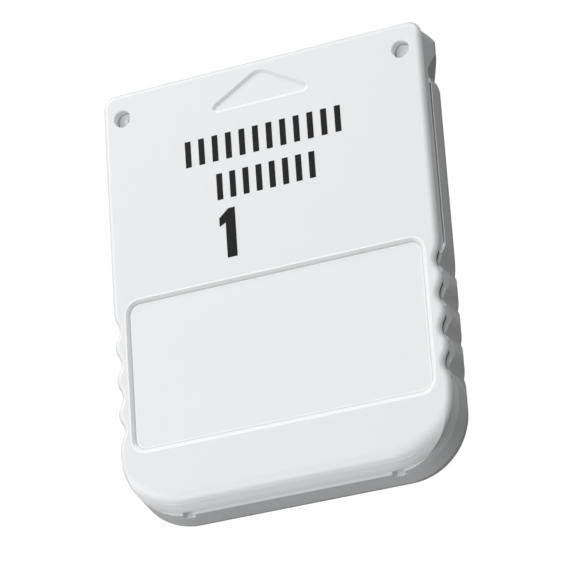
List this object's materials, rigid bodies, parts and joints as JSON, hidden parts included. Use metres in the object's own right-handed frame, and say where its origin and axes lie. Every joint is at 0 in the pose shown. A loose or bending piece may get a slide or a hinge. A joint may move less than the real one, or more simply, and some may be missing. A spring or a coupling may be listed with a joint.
{
  "type": "console memory card",
  "caption": "Slim white card in two snapped halves: stepped guide rails, waved grip sides, a sunk writing field, an arrow mark and edge contacts behind end windows.",
  "frame": {"origin": "middle of the card's footprint, on the flat rear face it lies on", "axes": "+X across the card, +Y towards the contact end, +Z out of the front face"},
  "size_m": [0.042, 0.0544, 0.007],
  "materials": {
    "cover_plastic": "fine satin moulding",
    "board_laminate": "satin lacquer",
    "gold_plate": "bright plated",
    "chip_plastic": "matte",
    "tinned_metal": "tinned",
    "resonator_plastic": "satin",
    "capacitor_plastic": "satin",
    "capacitor_ceramic": "matte",
    "resistor_ceramic": "glazed top"
  },
  "bodies": {
    "root": {"front_cover": "cover_plastic", "rear_cover": "cover_plastic", "circuit_board": "board_laminate", "contact_fingers": "gold_plate", "memory_chip": "chip_plastic", "memory_chip_leads": "tinned_metal", "controller_chip": "chip_plastic", "controller_chip_leads": "tinned_metal", "resonator": "resonator_plastic", "resonator_terminals": "tinned_metal", "supply_capacitor": "capacitor_plastic", "supply_capacitor_terminals": "tinned_metal", "chip_capacitors": "capacitor_ceramic", "chip_capacitor_ends": "tinned_metal", "chip_resistors": "resistor_ceramic", "chip_resistor_ends": "tinned_metal", "transistor": "chip_plastic", "transistor_leads": "tinned_metal", "diode": "chip_plastic", "diode_leads": "tinned_metal"}
  },
  "joints": []
}
